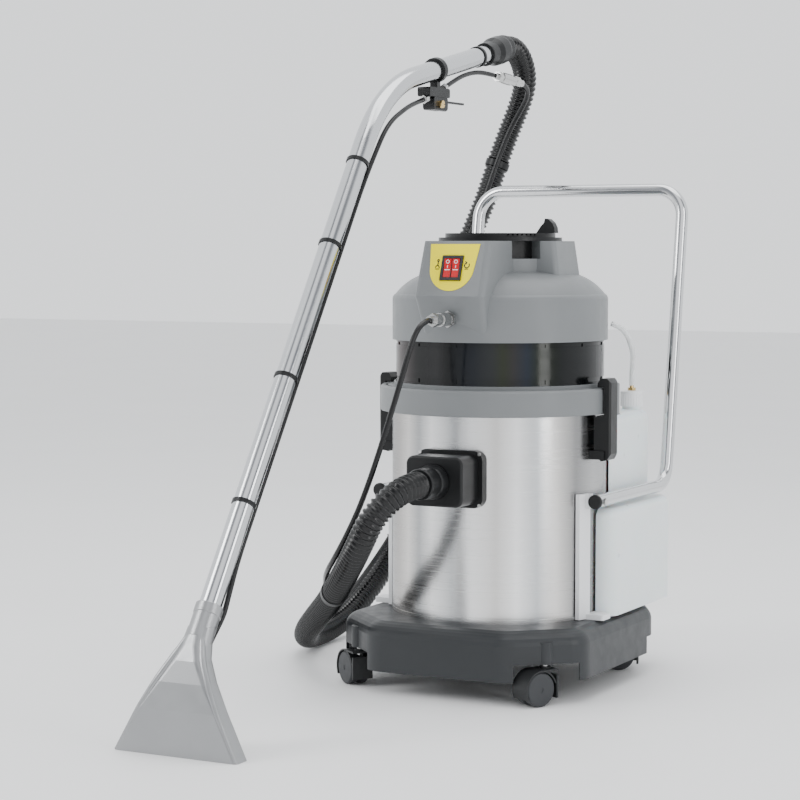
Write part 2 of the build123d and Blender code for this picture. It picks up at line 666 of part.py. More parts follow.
def valve_clamp():
    start = along_grip(190)
    end = along_grip(201)
    band = tube_between(start, end, 21.5) - tube_between(along_grip(180), along_grip(210), WAND_R + 0.1)
    lug = block(WAND_X - 7, WAND_X + 7, start.Y - 2, start.Y + 10, 990, 1003)
    return band + (lug - tube_between(along_grip(150), along_grip(240), WAND_R + 0.1))


def valve_body():
    body = block(WAND_X - 12, WAND_X + 12, 12, 88, 974, 990)
    body = fillet(body.edges().filter_by(Axis.X), 4)
    lower = block(WAND_X - 11, WAND_X + 11, 30, 82, 952, 975)
    lower = fillet(lower.edges().filter_by(Axis.X), 6)
    body += lower
    body -= block(WAND_X - 3.2, WAND_X + 3.2, 60, 92, 945, 966)
    return body


def valve_screw():
    head = tube_between((WAND_X + 11.1, 52, 962), (WAND_X + 17, 52, 962), 6.5)
    return head - block(WAND_X + 15.5, WAND_X + 18, 44, 60, 961.2, 962.8)


def trigger_lever():
    lever = block(WAND_X - 2.5, WAND_X + 2.5, 62, 92, 952, 958) + block(WAND_X - 2.5, WAND_X + 2.5, 84.5, 91, 952, 970)
    lever += block(WAND_X - 2.5, WAND_X + 2.5, 84.5, 162, 966.5, 970)
    lever += tube_between((WAND_X - 2.5, 66, 958), (WAND_X + 2.5, 66, 958), 5)
    return lever


def line_fittings():
    lower = hex_between((-150, 22, 970.5), (-150, 11.5, 968), 13) + tube_between((-150, 12, 968), (-150, 8.5, 967.1), 5)
    lower += tube_between((-150, 30, 972), (-150, 20, 970), 5)
    upper = hex_between((-150, 84, 990.5), (-150, 92, 993.6), 13)
    upper += tube_between((-150, 91, 993.3), (-150, 95.5, 995), 5)
    return Compound([lower, upper])


def wand_straps():
    straps = []
    for distance in (176, 395, 640, 800):
        centre = along_wand(distance)
        band = tube_between(centre - LEAN * 3, centre + LEAN * 3, WAND_R + 1.8)
        straps.append(band - tube_between(centre - LEAN * 5, centre + LEAN * 5, WAND_R + 0.1))
    centre = along_grip(362)
    band = tube_between(centre - RISE * 3, centre + RISE * 3, WAND_R + 1.8)
    straps.append(band - tube_between(centre - RISE * 5, centre + RISE * 5, WAND_R + 0.1))
    return Compound(straps)


def hose_coupler():
    start = Vector(*COUPLER_START)
    end = Vector(*COUPLER_END)
    axis = (end - start).normalized()
    body = tube_between(start, start + axis * 10, 5.5)
    body += hex_between(start + axis * 8, start + axis * 20, 17)
    body += tube_between(start + axis * 20, start + axis * 46, 10)
    body += tube_between(start + axis * 46, start + axis * 62, 8.5)
    body += hex_between(start + axis * 60, start + axis * 72, 17)
    body += tube_between(start + axis * 70, end, 6.5)
    return body


def hose_straps():
    straps = []
    for lower, upper in ((VACUUM_ROUTE[6], VACUUM_ROUTE[7]), (VACUUM_ROUTE[26], VACUUM_ROUTE[27])):
        lower = Vector(*lower)
        upper = Vector(*upper)
        axis = (upper - lower).normalized()
        centre = (lower + upper) * 0.5
        band = tube_between(centre - axis * 6, centre + axis * 6, VAC_HOSE_R + 1.8)
        straps.append(band - tube_between(centre - axis * 9, centre + axis * 9, VAC_HOSE_R + 0.3))
    return Compound(straps)


def build():
    shapes["trolley_base"] = trolley_base()
    stems = [caster(name, *place) for name, place in CASTERS.items()]
    shapes["caster_stems"] = Compound(stems)
    shapes["drum"] = drum()
    shapes["drum_band"] = ring(DRUM_R + 1.2, DRUM_R + 0.05, DRUM_Z0 + 0.2, 118.5)
    shapes["drum_collar"] = drum_collar()
    shapes["inlet_housing"] = inlet_housing()
    shapes["inlet_screws"] = inlet_screws()
    shapes["hose_cuff"] = hose_cuff()
    shapes["latch_right"] = latch(1)
    shapes["latch_left"] = latch(-1)
    shapes["latch_brackets"] = latch_brackets()
    shapes["solution_tank"] = solution_tank()
    shapes["tank_cap"] = tank_cap()
    shapes["tank_nipple"] = tank_nipple()
    shapes["tank_brackets"] = Compound([tank_bracket(1), tank_bracket(-1)])
    shapes["push_handle"] = push_handle()
    shapes["handle_end_caps"] = handle_end_caps()
    shapes["handle_bolts"] = handle_bolts()
    shapes["head_cover"] = head_cover()
    shapes["head_band"] = head_band()
    shapes["head_base"] = head_base()
    shapes["vacuum_motor"] = vacuum_motor()
    shapes["motor_fan"] = motor_fan()
    shapes["solution_pump"] = solution_pump()
    shapes["float_cage"] = float_cage()
    shapes["float_ball"] = float_ball()
    shapes["top_cap"] = top_cap()
    shapes["cord_hook"] = cord_hook()
    shapes["label_panel"] = label_panel()
    shapes["switch_bezel"] = switch_bezel()
    shapes["rocker_left"] = rocker(-1)
    shapes["rocker_right"] = rocker(1)
    shapes["outlet_fitting"] = outlet_fitting()
    shapes["mains_gland"] = mains_gland()
    shapes["wand_tube"] = wand_tube()
    shapes["wand_collar"] = wand_collar()
    shapes["floor_nozzle"] = floor_nozzle()
    shapes["spray_jet"] = spray_jet()
    shapes["wand_cuff"] = wand_cuff()
    shapes["valve_clamp"] = valve_clamp()
    shapes["valve_body"] = valve_body()
    shapes["valve_screw"] = valve_screw()
    shapes["trigger_lever"] = trigger_lever()
    shapes["line_fittings"] = line_fittings()
    shapes["wand_straps"] = wand_straps()
    shapes["wand_line"] = cord("wand_line", LINE_ROUTE, LINE_R)
    shapes["vacuum_hose"] = cord("vacuum_hose", VACUUM_ROUTE, VAC_HOSE_R)
    shapes["solution_hose"] = cord("solution_hose", SOLUTION_ROUTE, SOLUTION_HOSE_R)
    shapes["suction_tube"] = cord("suction_tube", SUCTION_ROUTE, TUBE_R)
    shapes["whip_tube"] = cord("whip_tube", WHIP_ROUTE, LINE_R)
    shapes["hose_coupler"] = hose_coupler()
    shapes["hose_straps"] = hose_straps()


# Nodes of the free hoses, which the footprint leaves out.
HOSE_NODES = ("vacuum_hose", "solution_hose", "suction_tube", "whip_tube", "hose_coupler", "hose_straps")


def footprint_centre():
    boxes = [shape.bounding_box() for name, shape in shapes.items() if name not in HOSE_NODES]
    x0 = min(b.min.X for b in boxes)
    x1 = max(b.max.X for b in boxes)
    y0 = min(b.min.Y for b in boxes)
    y1 = max(b.max.Y for b in boxes)
    return round((x0 + x1) / 2, 1), round((y0 + y1) / 2, 1)


build()
CENTRE = footprint_centre()
print("footprint centre from the drum axis:", CENTRE)
os.makedirs("parts", exist_ok=True)
for node, shape in shapes.items():
    export_step(Pos(-CENTRE[0], -CENTRE[1], -FLOOR_Z) * shape, "parts/" + node + ".step")
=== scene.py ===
import json
import math

import bpy
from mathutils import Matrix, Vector


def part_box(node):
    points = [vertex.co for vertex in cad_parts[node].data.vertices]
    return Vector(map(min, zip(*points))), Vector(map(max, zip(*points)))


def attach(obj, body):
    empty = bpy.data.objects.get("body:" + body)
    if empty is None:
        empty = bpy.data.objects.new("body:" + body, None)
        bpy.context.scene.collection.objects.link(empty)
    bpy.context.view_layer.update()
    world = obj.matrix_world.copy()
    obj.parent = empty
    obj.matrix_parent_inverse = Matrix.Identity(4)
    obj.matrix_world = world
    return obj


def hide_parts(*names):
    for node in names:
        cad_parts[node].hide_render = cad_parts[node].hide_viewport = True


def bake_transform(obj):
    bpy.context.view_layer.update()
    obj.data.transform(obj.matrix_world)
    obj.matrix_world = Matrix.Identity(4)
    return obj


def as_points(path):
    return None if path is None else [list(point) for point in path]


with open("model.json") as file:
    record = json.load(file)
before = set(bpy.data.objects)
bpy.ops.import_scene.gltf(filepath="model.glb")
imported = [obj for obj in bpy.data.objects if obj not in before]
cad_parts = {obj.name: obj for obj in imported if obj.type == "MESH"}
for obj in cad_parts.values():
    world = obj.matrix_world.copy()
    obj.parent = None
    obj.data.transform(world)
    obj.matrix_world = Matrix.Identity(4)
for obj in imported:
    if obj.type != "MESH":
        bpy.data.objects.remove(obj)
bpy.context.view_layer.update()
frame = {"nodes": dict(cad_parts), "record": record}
nodes = frame["nodes"]
low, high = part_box("drum")
AXIS_X = (low.x + high.x) / 2
AXIS_Y = (low.y + high.y) / 2
FLOOR_DROP = 5
WAND_X = -150


def at(x, y, z):
    """Point in millimetres from the drum's axis, with the floor FLOOR_DROP below zero height."""
    return Vector((AXIS_X + x / 1000, AXIS_Y + y / 1000, (z + FLOOR_DROP) / 1000))


# ---- camera ----
CAMERA_PLACE = at(1585.67, -3365.64, 717.76)
CAMERA_TILT = 86.064
CAMERA_TURN = 27.807
CAMERA_LENS = 99.9
SENSOR_WIDTH = 36
CAMERA_REACH = 60

camera_data = bpy.data.cameras.new("camera")
camera_data.lens = CAMERA_LENS
camera_data.sensor_width = SENSOR_WIDTH
camera_data.clip_end = CAMERA_REACH
camera = bpy.data.objects.new("camera", camera_data)
bpy.context.scene.collection.objects.link(camera)
camera.location = CAMERA_PLACE
camera.rotation_euler = (math.radians(CAMERA_TILT), 0, math.radians(CAMERA_TURN))
bpy.context.scene.camera = camera


# ---- materials ----
def start_material(name):
    mat = bpy.data.materials.new(name)
    mat.use_nodes = True
    tree = mat.node_tree
    shader = tree.nodes["Principled BSDF"]
    coords = tree.nodes.new("ShaderNodeTexCoord")
    return mat, tree, shader, coords


def stretched(tree, coords, scale):
    mapping = tree.nodes.new("ShaderNodeMapping")
    mapping.inputs["Scale"].default_value = scale
    tree.links.new(coords.outputs["Object"], mapping.inputs["Vector"])
    return mapping.outputs["Vector"]


def noise(tree, vector, scale, detail=4.0, roughness=0.55):
    node = tree.nodes.new("ShaderNodeTexNoise")
    node.inputs["Scale"].default_value = scale
    node.inputs["Detail"].default_value = detail
    node.inputs["Roughness"].default_value = roughness
    tree.links.new(vector, node.inputs["Vector"])
    return node.outputs["Fac"]


def ramp(tree, fac, stops):
    node = tree.nodes.new("ShaderNodeValToRGB")
    elements = node.color_ramp.elements
    while len(elements) < len(stops):
        elements.new(0.5)
    for element, (position, colour) in zip(elements, stops):
        element.position = position
        element.color = (*colour, 1.0)
    tree.links.new(fac, node.inputs["Fac"])
    return node.outputs["Color"]


def spread(tree, fac, low_value, high_value):
    node = tree.nodes.new("ShaderNodeMapRange")
    node.inputs["From Min"].default_value = 0.3
    node.inputs["From Max"].default_value = 0.7
    node.inputs["To Min"].default_value = low_value
    node.inputs["To Max"].default_value = high_value
    tree.links.new(fac, node.inputs["Value"])
    return node.outputs["Result"]


def bumped(tree, shader, height, strength, distance=0.0004):
    node = tree.nodes.new("ShaderNodeBump")
    node.inputs["Strength"].default_value = strength
    node.inputs["Distance"].default_value = distance
    tree.links.new(height, node.inputs["Height"])
    tree.links.new(node.outputs["Normal"], shader.inputs["Normal"])


def tone(colour, factor):
    return tuple(min(1.0, c * factor) for c in colour)


def set_sockets(shader, metal, sockets):
    shader.inputs["Metallic"].default_value = metal
    for socket, value in sockets.items():
        shader.inputs[socket.replace("_", " ")].default_value = value


def finish(name, colour, rough, metal=0.0, vary=0.06, patch=9.0, grain=900.0, bump=0.12, rough_vary=0.06,
           stretch=(1, 1, 1), **sockets):
    """Material with soft patches of tone, uneven gloss and a fine surface grain."""
    mat, tree, shader, coords = start_material(name)
    vector = stretched(tree, coords, stretch)
    patches = noise(tree, vector, patch, 5.0)
    stops = [(0.3, tone(colour, 1 - vary)), (0.5, colour), (0.72, tone(colour, 1 + vary))]
    tree.links.new(ramp(tree, patches, stops), shader.inputs["Base Color"])
    fine = noise(tree, vector, grain, 2.0)
    gloss = noise(tree, vector, patch * 5, 6.0)
    tree.links.new(spread(tree, gloss, rough - rough_vary, rough + rough_vary), shader.inputs["Roughness"])
    bumped(tree, shader, fine, bump)
    set_sockets(shader, metal, sockets)
    return mat


def as_turn(tree, first, second):
    """0 to 1 for the full turn that two coordinates make."""
    angle = tree.nodes.new("ShaderNodeMath")
    angle.operation = "ARCTAN2"
    tree.links.new(first, angle.inputs[0])
    tree.links.new(second, angle.inputs[1])
    turn = tree.nodes.new("ShaderNodeMapRange")
    turn.inputs["From Min"].default_value = -math.pi
    turn.inputs["From Max"].default_value = math.pi
    tree.links.new(angle.outputs["Value"], turn.inputs["Value"])
    return turn.outputs["Result"]


def around_axis(tree, coords):
    """0 to 1 round the drum's axis, starting behind it."""
    shift = tree.nodes.new("ShaderNodeVectorMath")
    shift.operation = "SUBTRACT"
    shift.inputs[1].default_value = (AXIS_X, AXIS_Y, 0)
    tree.links.new(coords.outputs["Object"], shift.inputs[0])
    split = tree.nodes.new("ShaderNodeSeparateXYZ")
    tree.links.new(shift.outputs["Vector"], split.inputs["Vector"])
    flip = tree.nodes.new("ShaderNodeMath")
    flip.operation = "MULTIPLY"
    flip.inputs[1].default_value = -1.0
    tree.links.new(split.outputs["Y"], flip.inputs[0])
    return as_turn(tree, split.outputs["X"], flip.outputs["Value"])


def painted_reflection_finish(name, stops, rough, metal, bump, stretch, **sockets):
    """Material with painted reflections: soft light and dark tones painted into the base colour round the
    drum's axis, with uneven gloss and fine lines from noise.
    """
    mat, tree, shader, coords = start_material(name)
    turn = around_axis(tree, coords)
    tree.links.new(ramp(tree, turn, stops), shader.inputs["Base Color"])
    vector = stretched(tree, coords, stretch)
    lines = noise(tree, vector, 1.0, 4.0)
    tree.links.new(spread(tree, lines, rough - 0.04, rough + 0.06), shader.inputs["Roughness"])
    bumped(tree, shader, lines, bump, 0.0002)
    set_sockets(shader, metal, sockets)
    return mat


def grey(value, warm=1.0):
    return (value * warm, value, value / warm)


# Painted reflections on the drum: light and dark grey stripes of base colour round its axis, some slightly
# warm, some slightly cool.
DRUM_PAINTED_REFLECTIONS = [
    (0.0, grey(0.50)), (0.10, grey(0.72)), (0.20, grey(0.42)), (0.30, grey(0.70)), (0.345, grey(0.22)),
    (0.385, grey(0.42, 1.04)), (0.415, grey(0.66, 1.03)), (0.44, grey(0.38, 0.98)), (0.465, grey(0.74)),
    (0.50, grey(0.50, 0.98)), (0.53, grey(0.88)), (0.565, grey(0.60, 1.02)), (0.595, grey(0.90)),
    (0.625, grey(0.50, 0.97)), (0.655, grey(0.70, 1.03)), (0.69, grey(0.30)), (0.73, grey(0.50)),
    (0.80, grey(0.36)), (0.90, grey(0.62)), (1.0, grey(0.50)),
]
# Painted reflections on the gloss black band: near-black stripes round the drum's axis with faint red, green
# and blue tints.
BAND_PAINTED_REFLECTIONS = [
    (0.0, (0.004, 0.0045, 0.005)), (0.36, (0.018, 0.005, 0.005)), (0.39, (0.022, 0.014, 0.014)),
    (0.43, (0.003, 0.0035, 0.0035)), (0.47, (0.016, 0.016, 0.017)), (0.49, (0.003, 0.0035, 0.004)),
    (0.53, (0.008, 0.010, 0.014)), (0.56, (0.013, 0.015, 0.015)), (0.575, (0.015, 0.019, 0.009)),
    (0.59, (0.018, 0.017, 0.017)), (0.61, (0.009, 0.014, 0.024)), (0.63, (0.008, 0.012, 0.005)),
    (0.67, (0.003, 0.004, 0.0045)), (1.0, (0.004, 0.0045, 0.005)),
]

paint = {
    "base_plastic": finish("base_plastic", (0.026, 0.0285, 0.031), 0.40, grain=1400, bump=0.25,
                           Specular_IOR_Level=0.35),
    # The drum's base colour carries painted reflections round its axis.
    "drum_steel": painted_reflection_finish("drum_steel", DRUM_PAINTED_REFLECTIONS, 0.24, 1.0, 0.025, (3, 3, 300)),
    "grey_plastic": finish("grey_plastic", (0.185, 0.195, 0.200), 0.38, grain=1500, bump=0.15, vary=0.03,
                           Specular_IOR_Level=0.35),
    "black_plastic": finish("black_plastic", (0.008, 0.0085, 0.009), 0.34, grain=1300, bump=0.2, vary=0.15,
                            Specular_IOR_Level=0.3),
    # The band's base colour carries painted reflections, faint tinted stripes round the drum's axis.
    "gloss_black": painted_reflection_finish("gloss_black", BAND_PAINTED_REFLECTIONS, 0.14, 0.0, 0.01, (2, 2, 60),
                                Specular_IOR_Level=0.3),
    "tank_plastic": finish("tank_plastic", (0.86, 0.875, 0.88), 0.33, grain=700, bump=0.08, vary=0.02,
                           Subsurface_Weight=0.25, Subsurface_Scale=0.02),
    "white_cap": finish("white_cap", (0.83, 0.84, 0.85), 0.36, grain=900, bump=0.1, vary=0.02),
    "brass": finish("brass", (0.76, 0.55, 0.24), 0.22, 1.0, vary=0.05),
    "chrome_tube": finish("chrome_tube", (0.66, 0.665, 0.675), 0.12, 1.0, vary=0.02, bump=0.03,
                          rough_vary=0.03, stretch=(1, 1, 0.2)),
    "wand_steel": finish("wand_steel", (0.62, 0.63, 0.645), 0.15, 1.0, vary=0.03, bump=0.04, rough_vary=0.04,
                         stretch=(1, 0.3, 0.3)),
    "nozzle_alloy": finish("nozzle_alloy", (0.36, 0.365, 0.372), 0.34, 0.9, vary=0.03, grain=1100, bump=0.2),
    "nickel": finish("nickel", (0.58, 0.58, 0.575), 0.22, 1.0, vary=0.05),
    "zinc_steel": finish("zinc_steel", (0.62, 0.62, 0.61), 0.34, 1.0, vary=0.08),
    "motor_metal": finish("motor_metal", (0.30, 0.31, 0.33), 0.45, 0.7, vary=0.08),
    "label_yellow": finish("label_yellow", (0.95, 0.82, 0.0), 0.45, vary=0.015, grain=500, bump=0.03,
                           Specular_IOR_Level=0.12),
    "rocker_red": finish("rocker_red", (0.55, 0.006, 0.010), 0.3, vary=0.05, bump=0.03,
                         Specular_IOR_Level=0.25),
    "caster_plastic": finish("caster_plastic", (0.016, 0.017, 0.018), 0.40, grain=1300, bump=0.2, vary=0.12,
                             Specular_IOR_Level=0.3),
    "wheel_plastic": finish("wheel_plastic", (0.034, 0.036, 0.039), 0.45, grain=1000, bump=0.25, vary=0.12,
                            Specular_IOR_Level=0.3),
    "hose_plastic": finish("hose_plastic", (0.005, 0.0052, 0.0055), 0.20, grain=600, bump=0.06, vary=0.2,
                           Specular_IOR_Level=0.4),
    "hose_rubber": finish("hose_rubber", (0.008, 0.008, 0.0085), 0.26, grain=900, bump=0.12, vary=0.15,
                          Specular_IOR_Level=0.35),
    "clear_tube": finish("clear_tube", (0.90, 0.92, 0.92), 0.16, grain=300, bump=0.03, vary=0.02,
                         rough_vary=0.04, Transmission_Weight=0.35, IOR=1.42),
}

for part in frame["record"]["subparts"]:
    mesh = nodes[part["node"]].data
    mesh.materials.clear()
    mesh.materials.append(paint[part["material_slot"]])


# ---- building pieces ----
def piece(name, vertices, faces, slot_name, smooth=True):
    mesh = bpy.data.meshes.new(name)
    mesh.from_pydata([tuple(v) for v in vertices], [], faces)
    mesh.validate()
    mesh.polygons.foreach_set("use_smooth", [smooth] * len(mesh.polygons))
    mesh.materials.append(paint[slot_name])
    mesh.update()
    made = bpy.data.objects.new(name, mesh)
    bpy.context.scene.collection.objects.link(made)
    return made


def frames_along(points):
    """Direction and two normals at each point, carried along without twisting."""
    directions = []
    for i in range(len(points)):
        before = points[max(0, i - 1)]
        after = points[min(len(points) - 1, i + 1)]
        directions.append((after - before).normalized())
    side = directions[0].orthogonal().normalized()
    frames = []
    for direction in directions:
        side = (side - direction * side.dot(direction)).normalized()
        frames.append((direction, side, direction.cross(side)))
    return frames


def tube(name, points, radii, slot_name, sides=32):
    vertices = []
    faces = []
    for point, radius, (direction, side, other) in zip(points, radii, frames_along(points)):
        for k in range(sides):
            angle = 2 * math.pi * k / sides
            vertices.append(point + (side * math.cos(angle) + other * math.sin(angle)) * radius)
    for i in range(len(points) - 1):
        for k in range(sides):
            a = i * sides + k
            b = i * sides + (k + 1) % sides
            faces.append((a, b, b + sides, a + sides))
    last = (len(points) - 1) * sides
    faces.append(tuple(reversed(range(sides))))
    faces.append(tuple(range(last, last + sides)))
    return piece(name, vertices, faces, slot_name)


def lathe(name, origin, axis, profile, slot_name, sides=48):
    """Ring turned from a closed (radius, height) profile in millimetres."""
    axis = axis.normalized()
    side = axis.orthogonal().normalized()
    other = axis.cross(side)
    vertices = []
    faces = []
    for k in range(sides):
        angle = 2 * math.pi * k / sides
        outward = side * math.cos(angle) + other * math.sin(angle)
        for radius, height in profile:
            vertices.append(origin + outward * (radius / 1000) + axis * (height / 1000))
    count = len(profile)
    for k in range(sides):
        for i in range(count):
            j = (i + 1) % count
            a = k * count
            b = ((k + 1) % sides) * count
            faces.append((a + i, b + i, b + j, a + j))
    return piece(name, vertices, faces, slot_name)


def centreline(route):
    """Points along the NURBS line through a route in millimetres."""
    curve = bpy.data.curves.new("centreline", "CURVE")
    curve.dimensions = "3D"
    curve.resolution_u = 16
    spline = curve.splines.new("NURBS")
    spline.points.add(len(route) - 1)
    for control, point in zip(spline.points, route):
        control.co = (*at(*point), 1.0)
    spline.order_u = 3
    spline.use_endpoint_u = True
    holder = bpy.data.objects.new("centreline", curve)
    bpy.context.scene.collection.objects.link(holder)
    bpy.context.view_layer.update()
    line = bpy.data.meshes.new_from_object(holder)
    points = [Vector(v.co) for v in line.vertices]
    bpy.data.objects.remove(holder)
    bpy.data.curves.remove(curve)
    bpy.data.meshes.remove(line)
    return points


def resampled(points, distances):
    lengths = [0.0]
    for a, b in zip(points, points[1:]):
        lengths.append(lengths[-1] + (b - a).length)
    result = []
    i = 0
    for wanted in distances:
        wanted = min(wanted, lengths[-1])
        while i < len(points) - 2 and lengths[i + 1] < wanted:
            i += 1
        part = lengths[i + 1] - lengths[i]
        share = (wanted - lengths[i]) / part if part > 0 else 0.0
        result.append(points[i].lerp(points[i + 1], share))
    return result


def line_length(points):
    return sum((b - a).length for a, b in zip(points, points[1:]))


# ---- hoses ----
VACUUM_ROUTE = [
    (0, -297, 347), (0, -338, 347), (-14, -372, 329), (-36, -388, 298), (-58, -380, 262),
    (-98, -340, 222), (-145, -290, 181), (-205, -220, 137), (-276, -140, 93), (-340, -60, 55),
    (-387, 15, 27), (-410, 90, 17), (-417, 165, 18), (-418, 230, 34), (-413, 285, 64),
    (-401, 330, 104), (-385, 354, 152), (-371, 368, 208), (-361, 377, 275), (-351, 383, 351),
    (-339, 387, 432), (-322, 390, 523), (-299, 395, 612), (-272, 400, 690), (-248, 406, 750),
    (-227, 413, 803), (-214, 423, 851), (-203, 433, 894), (-189, 440, 936), (-173, 442, 974),
    (-159, 437, 1004), (-150, 426, 1031), (-147, 408, 1056), (-147.5, 383, 1077), (-150, 354, 1084),
    (-150, 325, 1077.8),
]
SOLUTION_ROUTE = [
    (0, -263, 603), (-1, -283, 600), (-4, -300, 584), (-9, -310, 560), (-22, -318, 505),
    (-38, -328, 442), (-56, -337, 378), (-76, -345, 318), (-97, -347, 274), (-124, -340, 233),
    (-166, -299, 197), (-214, -216, 165), (-268, -124, 114), (-329, -46, 82), (-378, 25, 60),
    (-404, 96, 51), (-416, 165, 54), (-418, 222, 68), (-413, 268, 95), (-401, 308, 133),
    (-381, 330, 175), (-362, 342, 220), (-350, 349, 278), (-340, 355, 352), (-328, 359, 432),
    (-310, 362, 523), (-287, 367, 612), (-260, 372, 690), (-236, 377, 750), (-215, 384, 803),
    (-202, 394, 851), (-190, 404, 894), (-174, 410, 936), (-152, 408, 970), (-133, 398, 994),
    (-124, 378, 1011), (-124.5, 356, 1016),
]
SUCTION_ROUTE = [
    (163, 92, 590), (175, 100, 585), (181, 116, 572), (178, 142, 553), (169, 175, 534),
    (156, 206, 516), (148, 222, 497), (148, 222, 479),
]
WHIP_ROUTE = [
    (-150, 98, 996), (-150, 124, 1006), (-150, 160, 1018), (-149, 200, 1026.5), (-146, 238, 1029),
    (-141, 272, 1026),
]

RIB_PITCH = 9.0
RIB_RADII = (18.0, 18.6, 20.9, 21.6, 20.9, 18.6)
HOSE_STEP = 0.004


def ribbed_hose(name, route, slot_name):
    line = centreline(route)
    length = line_length(line)
    ribs = round(length * 1000 / RIB_PITCH)
    count = ribs * len(RIB_RADII)
    distances = [length * i / count for i in range(count + 1)]
    points = resampled(line, distances)
    radii = [RIB_RADII[i % len(RIB_RADII)] / 1000 for i in range(count + 1)]
    return tube(name, points, radii, slot_name, 36), line


def plain_hose(name, route, radius, slot_name, sides=20):
    line = centreline(route)
    length = line_length(line)
    count = max(12, round(length / HOSE_STEP))
    points = resampled(line, [length * i / count for i in range(count + 1)])
    return tube(name, points, [radius / 1000] * len(points), slot_name, sides), line


vacuum, vacuum_line = ribbed_hose("vacuum_hose_ribbed", VACUUM_ROUTE, "hose_plastic")
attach(vacuum, "root")
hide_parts("vacuum_hose")
at(*VACUUM_ROUTE[0])
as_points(vacuum_line)

solution, solution_line = plain_hose("solution_hose_smooth", SOLUTION_ROUTE, 4.5, "hose_rubber")
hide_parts("solution_hose")
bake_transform(solution)
at(*SOLUTION_ROUTE[0])
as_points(solution_line)

suction, suction_line = plain_hose("suction_tube_smooth", SUCTION_ROUTE, 4.5, "clear_tube")
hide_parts("suction_tube")
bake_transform(suction)
at(*SUCTION_ROUTE[0])
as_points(suction_line)

whip, whip_line = plain_hose("whip_tube_smooth", WHIP_ROUTE, 4.0, "hose_rubber")
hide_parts("whip_tube")
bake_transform(whip)
at(*WHIP_ROUTE[0])
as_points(whip_line)

# ---- sleeve where the hose meets the wand ----
rise = (at(WAND_X, 262, 1064.4) - at(WAND_X, -135, 980)).normalized()
joint = at(*VACUUM_ROUTE[-1])
NECK_PROFILE = [
    (21.7, -12), (24.4, -12), (24.9, -11), (24.9, -8.5), (24.5, -8), (24.9, -7.5), (24.9, -5), (24.5, -4.5),
    (24.9, -4), (24.9, -1.5), (24.5, -1), (24.9, -0.5), (24.9, 2), (24.2, 3), (24.2, 6), (22.4, 8), (21.7, 8),
]
neck = lathe("hose_neck_sleeve", joint, rise, NECK_PROFILE, "black_plastic")
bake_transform(neck)


# ---- raised ridges on the nozzle ----
RIDGE_HALF = [(102, -760.5, -4), (66, -753.5, 60), (44, -742, 98), (27, -729, 126), (17, -714, 147),
              (10, -703, 165)]
RIDGE_RADII = [2.0, 3.0, 4.0, 5.0, 5.5, 4.0]
RIDGE_STEPS = 60
SMOOTHING_ROUNDS = 12


def rounded_rod(name, points, radii, steps, slot_name, body):
    """Rod through a few points whose thickness changes along it."""
    path = [at(*p) for p in points]
    total = line_length(path)
    line = resampled(path, [total * i / steps for i in range(steps + 1)])
    for _ in range(SMOOTHING_ROUNDS):
        inner = [(a + b * 2 + c) / 4 for a, b, c in zip(line, line[1:], line[2:])]
        line = [line[0], *inner, line[-1]]
    thickness = []
    for i in range(steps + 1):
        t = i / steps * (len(radii) - 1)
        k = min(int(t), len(radii) - 2)
        thickness.append((radii[k] * (k + 1 - t) + radii[k + 1] * (t - k)) / 1000)
    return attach(tube(name, line, thickness, slot_name, 24), body)


for side, label in ((-1, "left"), (1, "right")):
    ridge = [(WAND_X + side * x, y, z) for x, y, z in RIDGE_HALF]
    rounded_rod("nozzle_ridge_" + label, ridge, RIDGE_RADII, RIDGE_STEPS, "nozzle_alloy", "wand")


# ---- marks on the switches and their label, and a painted highlight on each switch ----
PANEL_X = Vector((1, 0, 0))
PANEL_Z = Vector((0, -88, 31)).normalized()
PANEL_Y = PANEL_Z.cross(PANEL_X)
PANEL_ORIGIN = at(0, -180.5, 684)
ROCKER_OFFSET = 7.2
ROCKER_HALF = 15.2
ROCKER_TILT = 5
ROCKER_FACE = 2.4
ROCKER_RISE = 1.2
ROCKER_PRINT_AND_HIGHLIGHT_HEIGHT = 0.12
LABEL_MARK_LOW = 0.85
LABEL_MARK_HIGH = 0.95


def on_panel(x, y, z):
    return PANEL_ORIGIN + (PANEL_X * x + PANEL_Y * y + PANEL_Z * z) / 1000


def on_rocker(side):
    tilt = math.radians(ROCKER_TILT)

    def place(x, y, z):
        z += ROCKER_FACE + ROCKER_RISE * abs(y) / ROCKER_HALF
        turned_y = y * math.cos(tilt) - z * math.sin(tilt)
        turned_z = y * math.sin(tilt) + z * math.cos(tilt)
        return on_panel(side * ROCKER_OFFSET + x, turned_y, turned_z)

    return place


def strip(name, place, outer, inner, slot_name, z0, z1, closed=True):
    """Flat raised mark between two lines of points."""
    count = len(outer)
    vertices = []
    for z in (z0, z1):
        for line in (outer, inner):
            for x, y in line:
                vertices.append(place(x, y, z))
    faces = []
    spans = count if closed else count - 1
    for i in range(spans):
        j = (i + 1) % count
        top_out = 2 * count
        top_in = 3 * count
        faces.append((top_out + i, top_out + j, top_in + j, top_in + i))
        faces.append((i, count + i, count + j, j))
        faces.append((i, j, top_out + j, top_out + i))
        faces.append((count + j, count + i, top_in + i, top_in + j))
    if not closed:
        for i in (0, count - 1):
            faces.append((i, count + i, 3 * count + i, 2 * count + i))
    return piece(name, vertices, faces, slot_name, smooth=False)


def arc(cx, cy, radius, start, end, steps=32):
    points = []
    for i in range(steps + 1):
        angle = math.radians(start + (end - start) * i / steps)
        points.append((cx + radius * math.cos(angle), cy + radius * math.sin(angle)))
    return points


